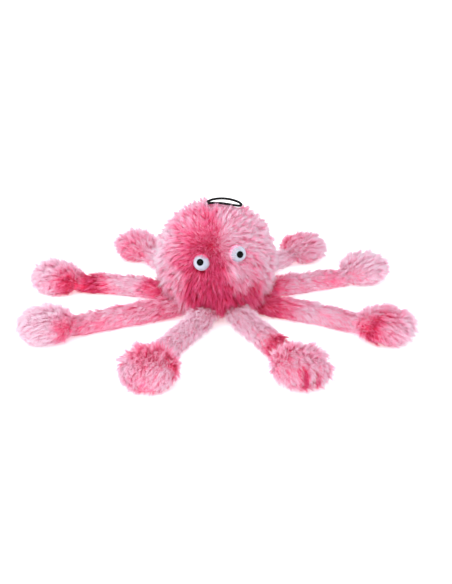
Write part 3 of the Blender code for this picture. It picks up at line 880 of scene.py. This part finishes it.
def part_at_eyes(points, roots, width, seed):
    """Pile beside an eye climbs round the ball and ends on it, over the rim but short of the
    pupil, and is thicker there. Returns the points, and which fibres aren't under the ball."""
    keep = np.ones(len(points), bool)
    for middle, look in eyes:
        flat = points - middle
        flat -= (flat @ look)[..., None] * look
        reach = flat[:, 2] - flat[:, 0]
        limit = EYE_CLEAR + np.random.default_rng(seed).uniform(0, EYE_COVER, len(points))
        start = np.linalg.norm(flat[:, 0], axis=-1)
        limit = np.where(start < EYE_BESIDE, limit, EYE_RADIUS)
        size, along = (reach**2).sum(1), (reach * flat[:, 0]).sum(1)
        room = along**2 - size * ((flat[:, 0] ** 2).sum(1) - limit**2)
        stop = (-along - np.sqrt(np.maximum(room, 0))) / size
        hits = (room > 0) & (stop > 0) & (stop < 1) & (roots @ look > 0)
        cut = roots[:, None] + (points - roots[:, None]) * stop[:, None, None]
        points = np.where(hits[:, None, None], cut, points)
        climb = hits & (start < EYE_BESIDE)
        width[climb] *= CLIMB_WIDTH
        side = unit(flat[:, 0] + reach * (stop * CLIMB_BEND)[:, None])
        over = unit(flat[:, 0] + reach * stop[:, None])
        points[climb, 1] = (middle + side * (EYE_RADIUS + EYE_BEND_GAP))[climb]
        height = np.sqrt(np.maximum((EYE_RADIUS + EYE_TIP_GAP) ** 2 - limit**2, 0))
        points[climb, 2] = (middle + over * limit[:, None] + look * height[:, None])[climb]
        keep &= (start > EYE_UNDER) | (roots @ look < 0)
        away = points - middle
        apart = np.linalg.norm(away, axis=-1, keepdims=True)
        clear = EYE_RADIUS + EYE_GAP
        points = np.where(apart < clear, middle + away / apart * clear, points)
    return points, keep


def press_crown(points):
    """Lays pile on the crown flat under and behind the loop: nothing stands further off the
    head's form than FLAT_PILE. The loop presses pile below it, except where it is sewn in."""
    height = points[..., 2]
    off = np.minimum(np.linalg.norm(points[..., :2] / HEAD_RADIUS, axis=-1), 1)
    crown = (1 - off**HEAD_SQUARENESS) ** (1 / HEAD_SQUARENESS)
    away = (points[..., :2] - FLAT_MIDDLE) / FLAT_SIZE
    free = 1 - np.exp(-(away**4).sum(-1))
    top = HEAD_MIDDLE + HEAD_HALF * crown + FLAT_PILE + free**2 * FREE_PILE
    height = np.where(height > HEAD_MIDDLE + CROWN_RISE, np.minimum(height, top), height)
    pressing = cord_path[SEWN_STEPS:-SEWN_STEPS:PRESS_STEPS]
    gap = np.linalg.norm(points[:, :, None, :2] - pressing[:, :2], axis=-1)
    press = pressing[:, 2][gap.argmin(-1)] - CORD_RADIUS - CORD_GAP
    under = (gap.min(-1) < PRESS_REACH) & (height > press)
    points[..., 2] = np.where(under, press, height)


def head_pile(name, turns, leans, count, seed):
    """Pile on one panel of the head: it runs away from the whorl and, lower down, hangs."""
    around, along = scatter(head_form, turns, leans, count, seed, HEAD_SPARSE)
    roots, outward = head_form(around, along), facing(head_form, around, along)
    out = unit(roots - [0, 0, HEAD_MIDDLE])
    apart = np.degrees(np.arccos(np.clip(out @ whorl, -1, 1)))
    lay = unit(out * (out @ whorl)[:, None] - whorl)
    hang = HANG_LEAST + HANG_MORE * ramp_between(roots[:, 2], *HANG_HEIGHTS)
    lay -= UP * hang[:, None]
    for size, share in HEAD_TUFTS:
        lay += share * drift(roots, size, 41)
    crossing = np.random.default_rng(seed + 3).normal(0, CROSSING, (count, 3))
    lay += crossing * (1 - ramp_between(apart, *CROSSING_DEGREES))[:, None]
    lay = unit(lay - outward * (lay * outward).sum(1, keepdims=True))
    near = 1 - ramp_between(apart, *WHORL_DEGREES)
    low = ramp_between(roots[:, 2], *LOW_HEIGHTS)
    sewn = closeness(roots[:, :2], cord_path[0, :2], SEWN_SPREAD)
    brushed = closeness(roots, BRUSHED, BRUSHED_SPREAD)
    leans = lean_angles(HEAD_LEANS, near, low) + np.radians(SEWN_RISE) * sewn[:, None]
    length = (HEAD_LENGTH + LOW_LONGER * low) * (1 + BRUSHED_LONGER * brushed)
    ring = unit(out - whorl * (out @ whorl)[:, None])
    chart = WHORL_TUBE * ring + whorl * np.radians(apart * LOCK_STRETCH)[:, None]
    chart = chart * HEAD_RADIUS
    points, home = comb(roots, outward, lay, chart, length, leans, seed, HEAD_WILD)
    tone = head_dye(roots) + HEAD_TONE_LOCK * (hashed(home, HEAD_TONE_SEED) - 0.5)
    own = np.random.default_rng(seed + 1).normal(0, HEAD_TONE_FIBRE, count)
    tone += own - BRUSHED_PALER * brushed
    width = np.random.default_rng(seed + 2).uniform(*HEAD_WIDTHS, count)
    points, keep = part_at_eyes(points, roots, width, seed + 4)
    press_crown(points)
    piece = strands(name, points[keep], outward[keep], width[keep], tone[keep], pile)
    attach(piece, "head")


# Each panel's pile: its turns from the front, its leans, its fibres and its slot.
QUARTER = math.pi / 2
UPPER, LOWER = (SEAM_LEAN, QUARTER), (-QUARTER, SEAM_LEAN)
HEAD_SEED = 101
HEAD_PILES = {
    "front_left": ((-QUARTER, 0), UPPER, 27000, "head_fur_left"),
    "front_right": ((0, QUARTER), UPPER, 27000, "head_fur_right"),
    "back_left": ((-2 * QUARTER, -QUARTER), UPPER, 20000, "head_fur_left"),
    "back_right": ((QUARTER, 2 * QUARTER), UPPER, 20000, "head_fur_right"),
    "base": ((-2 * QUARTER, 2 * QUARTER), LOWER, 5000, "base_fur"),
}
for number, (panel, (turns, leans, count, slot)) in enumerate(HEAD_PILES.items()):
    head_pile("head_pile_" + panel, turns, leans, count, HEAD_SEED + number)


# Legs: each is a stuffed tube of the same fur fabric, gathered into the head's lower seam,
# pinched at the ankle and swelling to a broad foot. Pile lies along it and splays over the foot.

ROOT_REACH = 0.0195
LEG_LENGTH = 0.084
ANKLE = ROOT_REACH + LEG_LENGTH
FOOT_REACH = 0.0491
TOE = ANKLE + FOOT_REACH
INNER_END = -0.006
MID_LEG = 0.058
FOOT_MIDDLE = ANKLE + 0.0277
FOOT_HALF_LENGTH = 0.0218
FOOT_HALF_WIDTH = 0.0207
FOOT_HALF_HEIGHT = 0.0133
FOOT_SQUARENESS = 2.35
OVAL_JOIN = 8
LEG_REST = 0.0003
LEG_STEPS = 40

# By distance from the seam: the centreline's height and the tube's half size.
LINE_STOPS = (-0.01, 0.01, 0.032, 0.082, ANKLE, 0.119, TOE)
LINE_HEIGHTS = (0.0100, 0.0092, 0.0086, 0.0084, 0.0080, 0.0127, 0.0127)
TUBE_STOPS = (-0.006, 0.006, 0.02, 0.04, 0.08, 0.098, 0.108, 0.122, 0.142, 0.16)
TUBE_HALVES = (0.0068, 0.0078, 0.0086, 0.0089, 0.0087, 0.0080, 0.0074, 0.0068, 0.003, 0.0)

# Dye along each leg: the tone at the root, a fifth, two fifths, three fifths, the ankle,
# the middle of the foot and its toe. Waves shift it, by their size and reach.
DYE_STOPS = (0.0, 0.031, 0.061, 0.089, ANKLE, 0.133, TOE)
LEG_DYE = {
    "front_left": (0.14, -0.2, -0.2, 0.0, 0.34, 0.56, 0.3),
    "front_right": (-0.2, -0.2, -0.05, 0.92, 0.5, 0.22, 0.2),
    "side_front_right": (1.1, 0.56, 0.0, 0.28, 0.06, 0.46, 0.14),
    "side_back_right": (1.6, 0.4, 0.2, 0.3, 0.14, -0.05, -0.05),
    "back_right": (-0.2, -0.2, -0.2, -0.2, 0.1, 0.22, 0.14),
    "back_left": (0.30, 0.08, 0.0, 0.04, 0.1, 0.2, 0.16),
    "side_back_left": (1.9, 0.5, 0.14, 1.02, 0.68, 0.16, -0.05),
    "side_front_left": (0.5, 0.38, 0.24, 0.32, 0.44, -0.2, -0.2),
}
LEG_WANDER = (0.024, 0.007)
LEG_CLOUDS = ((0.02, 0.10), (0.009, 0.05))
SPOT_WANDER = 0.3  # the share of that shift which also moves the spots on the feet

# Dye spots on the feet: distance from the seam, distance to the left as seen along the
# leg, spread, tone.
FOOT_DYE = {
    "front_left": (
        (0.128, 0.0, 0.009, 0.62),
        (0.142, 0.016, 0.008, 0.05),
        (0.142, -0.016, 0.008, 0.05),
    ),
    "front_right": (
        (0.122, 0.010, 0.010, 0.1),
        (0.1526, -0.005, 0.0045, 1.1),
        (0.1526, 0.001, 0.003, -0.4),
        (0.1526, 0.0065, 0.003, 1.2),
    ),
    "side_front_right": (
        (0.126, -0.019, 0.009, 1.0),
        (0.130, 0.010, 0.010, 0.2),
        (0.150, 0.0, 0.010, 0.0),
    ),
    "back_right": ((0.120, 0.010, 0.009, 0.6),),
    "side_back_left": ((0.114, 0.016, 0.010, 0.95), (0.126, -0.012, 0.016, 0.0)),
    "side_front_left": ((0.120, 0.020, 0.008, 0.6),),
    "back_left": ((0.122, 0.014, 0.010, 0.6),),
}

# How the pile of a foot was brushed last: how far ahead, to the left and up.
FOOT_SWEEP = {
    "front_left": (-0.3, -0.3, 0.2),
    "front_right": (0.3, 0.4, -0.2),
    "side_front_right": (0.8, 0.0, -0.1),
    "side_back_right": (0.5, 0.25, 0.3),
    "back_right": (0.0, -0.6, 0.0),
    "back_left": (0.2, 0.3, 0.2),
    "side_back_left": (0.3, -0.2, 0.2),
    "side_front_left": (0.1, 0.0, 0.1),
}

# Pile on the legs. Leans are in degrees for both stretches, with what the foot and its
# tip add. SWEPT_LONGER is for pile brushed outward and inward, UNDER_SHORTER for pile that
# faces down and other pile near the floor.
LEG_SPARSE = (0.004, 0.45)
LEG_LEANS = ((30, 4, 8), (12, 4, 6))
LEG_PILE_LENGTH, TIP_SHORTER = 0.0102, 0.0020
LEG_WIDTHS = (0.00013, 0.00021)
LEG_WILD, FOOT_WILDER = 1.1, 0.65
LEG_TUFTS = (0.018, 0.18)
LEG_TONE_SEED = 22
# The last of these deepens the tone of pile underneath and near the floor: painted shade.
LEG_TONE_LOCK, LEG_TONE_FIBRE, UNDER_PAINTED_SHADE = 0.26, 0.1, 0.15
FOOT_START = (0.096, 0.12)
SWEPT_SHARE = 0.7
SWEPT_LONGER = (0.006, 0.003)
UNDER_FROM, UNDER_TO, UNDER_FOOT = 0.001, 0.014, 0.006
UNDER_FLATTER = 0.8
UNDER_SHORTER = (0.35, 0.68)
LEG_HANG, UNDER_HANG = 0.3, 0.6
NEVER_ZERO = 1e-6


def leg_run(along):
    """Distance from the seam: even over the upper half, 0 to 1, and closing in on the toe as a
    sine from 1 to 2."""
    upper = INNER_END + along * (MID_LEG - INNER_END)
    lower = MID_LEG + (TOE - MID_LEG) * np.sin(np.clip(along - 1, 0, 1) * np.pi / 2)
    return np.where(along < 1, upper, lower)


def outward_from(joint):
    """The level direction square to a hinge's axis, which points along the leg to its toe."""
    return unit(np.array([-joint["axis"][1], joint["axis"][0], 0.0]))


def leg_line(name, run):
    """The centreline: a cubic from joint to joint, square to each joint's axis, lifted to the
    middle of the stuffed form."""
    swing, lift, ankle = (joints[kind + name] for kind in ("swing_", "lift_", "ankle_"))
    spots = [np.array(joint["pos_m"]) for joint in (swing, lift, ankle)]
    ways = [unit(spots[1] - spots[0]), outward_from(lift), outward_from(ankle)]
    spots.append(spots[2] + ways[2] * FOOT_REACH)
    ways.append(ways[2])
    stops = np.array([0, ROOT_REACH, ANKLE, TOE])
    place = cubic(stops, np.array(spots), np.array(ways), run)
    place[..., 2] = smooth(LINE_STOPS, LINE_HEIGHTS, run)
    return place


def leg_axes(name, run):
    """The directions along the centreline, level to its left, and up from both."""
    way = unit(leg_line(name, run + STEP) - leg_line(name, run - STEP))
    side = unit(np.cross(UP, way))
    return way, side, np.cross(way, side)


def leg_chord(name):
    """Where a leg starts, and the direction from there to its toe."""
    start, toe = (leg_line(name, np.array(stop)) for stop in (0.0, TOE))
    return start, unit(toe - start)


def leg_form(name, around, along):
    """Ovals square to the centreline. Their half sizes are the tube's and the foot's, joined as
    the eighth root of the sum of eighth powers; the foot is a superellipse along the leg."""
    run = leg_run(along)
    _, side, rise = leg_axes(name, run)
    tube_size = smooth(TUBE_STOPS, TUBE_HALVES, run)
    share = np.clip(np.abs(run - FOOT_MIDDLE) / FOOT_HALF_LENGTH, 0, 1)
    swell = (1 - share**FOOT_SQUARENESS) ** (1 / FOOT_SQUARENESS)
    wide, tall = (
        (np.maximum(tube_size, 0) ** OVAL_JOIN + (swell * size) ** OVAL_JOIN) ** (1 / OVAL_JOIN)
        for size in (FOOT_HALF_WIDTH, FOOT_HALF_HEIGHT)
    )
    place = leg_line(name, run) + (wide * np.cos(around))[..., None] * side
    place += (tall * np.sin(around))[..., None] * rise
    place[..., 2] = np.maximum(place[..., 2], LEG_REST)
    return place


def leg_dye(name, run, points):
    """The tone along a leg, shifted and clouded by waves, and drawn to each foot spot's tone by
    exp(-(distance / spread)^2)."""
    size, reach = LEG_WANDER
    wander = run + reach * waves(points, size, 51)
    tone = smooth(DYE_STOPS, LEG_DYE[name], np.clip(wander, 0, TOE))
    _, side, _ = leg_axes(name, run)
    aside = ((points - leg_line(name, run)) * side).sum(-1)
    for place, left, spread, spot in FOOT_DYE.get(name, ()):
        ahead = run + SPOT_WANDER * (wander - run) - place
        near = np.exp(-(ahead**2 + (aside - left) ** 2) / spread**2)
        tone += (spot - tone) * near
    for number, (size, reach) in enumerate(LEG_CLOUDS):
        tone = tone + reach * waves(points, size, 52 + number)
    return tone


def leg_backing(name, half, ends, material):
    """The stuffed skin of half a leg, closed at both its ends."""
    along = np.linspace(*ends, LEG_STEPS)
    around = np.linspace(0, 2 * np.pi, LEG_STEPS, endpoint=False)
    rings = leg_form(name, *np.meshgrid(around, along))
    caps = [np.repeat(leg_line(name, leg_run(end))[None, None], LEG_STEPS, 1) for end in ends]
    points = np.concatenate([caps[0], rings, caps[1]])
    piece = surface(f"leg_backing_{half}_{name}", points, material)
    start, chord = leg_chord(name)
    set_dye(piece, lambda p: leg_dye(name, np.clip((p - start) @ chord, 0, TOE), p))
    return piece


def leg_pile(name, half, ends, count, seed):
    """The pile of half a leg, laid towards the foot and standing out more over it."""
    form = partial(leg_form, name)
    around, along = scatter(form, (0, 2 * np.pi), ends, count, seed, LEG_SPARSE)
    roots, outward = form(around, along), facing(form, around, along)
    run = leg_run(along)
    way, side, _ = leg_axes(name, run)
    ahead = (way * outward).sum(1, keepdims=True)
    size, share = LEG_TUFTS
    lay = way - outward * ahead + share * drift(roots, size, 61)
    lay = unit(lay - outward * (lay * outward).sum(1, keepdims=True) + NEVER_ZERO)
    foot = ramp_between(run, *FOOT_START)
    tip = np.clip(ahead[:, 0], 0, 1) * foot
    sweep = sum(share * arm for share, arm in zip(FOOT_SWEEP[name], (way, side, UP)))
    swept = (sweep * outward).sum(1, keepdims=True)
    lay = unit(lay + SWEPT_SHARE * foot[:, None] * (sweep - outward * swept))
    swept = swept[:, 0] * foot
    under = 1 - ramp_between(roots[:, 2], UNDER_FROM, UNDER_TO + UNDER_FOOT * foot)
    hang = (LEG_HANG + UNDER_HANG * under)[:, None] * (1 - np.abs(outward[:, 2:]))
    lay = unit(lay - UP * hang)
    leans = lean_angles(LEG_LEANS, foot, tip) * (1 - UNDER_FLATTER * under)[:, None]
    length = LEG_PILE_LENGTH - TIP_SHORTER * tip + np.where(swept > 0, *SWEPT_LONGER) * swept
    length *= 1 - under * np.where(outward[:, 2] < FACING_DOWN, *UNDER_SHORTER)
    _, chord = leg_chord(name)
    chart = roots - leg_line(name, run) + chord * run[:, None] * LOCK_STRETCH
    wild = LEG_WILD + FOOT_WILDER * foot
    points, home = comb(roots, outward, lay, chart, length, leans, seed, wild)
    tone = leg_dye(name, run, roots) + LEG_TONE_LOCK * (hashed(home, LEG_TONE_SEED) - 0.5)
    # Painted shade: pile underneath and near the floor takes a deeper tone.
    tone += UNDER_PAINTED_SHADE * under
    tone += np.random.default_rng(seed + 1).normal(0, LEG_TONE_FIBRE, count)
    width = np.random.default_rng(seed + 2).uniform(*LEG_WIDTHS, count)
    return strands(f"leg_pile_{half}_{name}", points, outward, width, tone, pile)


# Each half of a leg: the joint that it bends at and half that bend's length, its two ends,
# its fibres, and the solids that it stands for.
LEG_SEED = 205
HALVES = {
    "upper": ("lift_", 0.012, (0.0, 1.0), 10000, ("leg_root_", "leg_cover_", "leg_stuffing_")),
    "lower": ("ankle_", 0.010, (1.0, 2.0), 16500, ("foot_cover_", "foot_stuffing_")),
}
for number, name in enumerate(LEG_DYE):
    for half, (kind, soft, ends, count, nodes) in HALVES.items():
        joint = joints[kind + name]
        skin = leg_backing(name, half, ends, backing)
        coat = leg_pile(name, half, ends, count, LEG_SEED + number * 10)
        for piece in (skin, coat):
            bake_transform(piece)
        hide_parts(*[node + name for node in nodes])
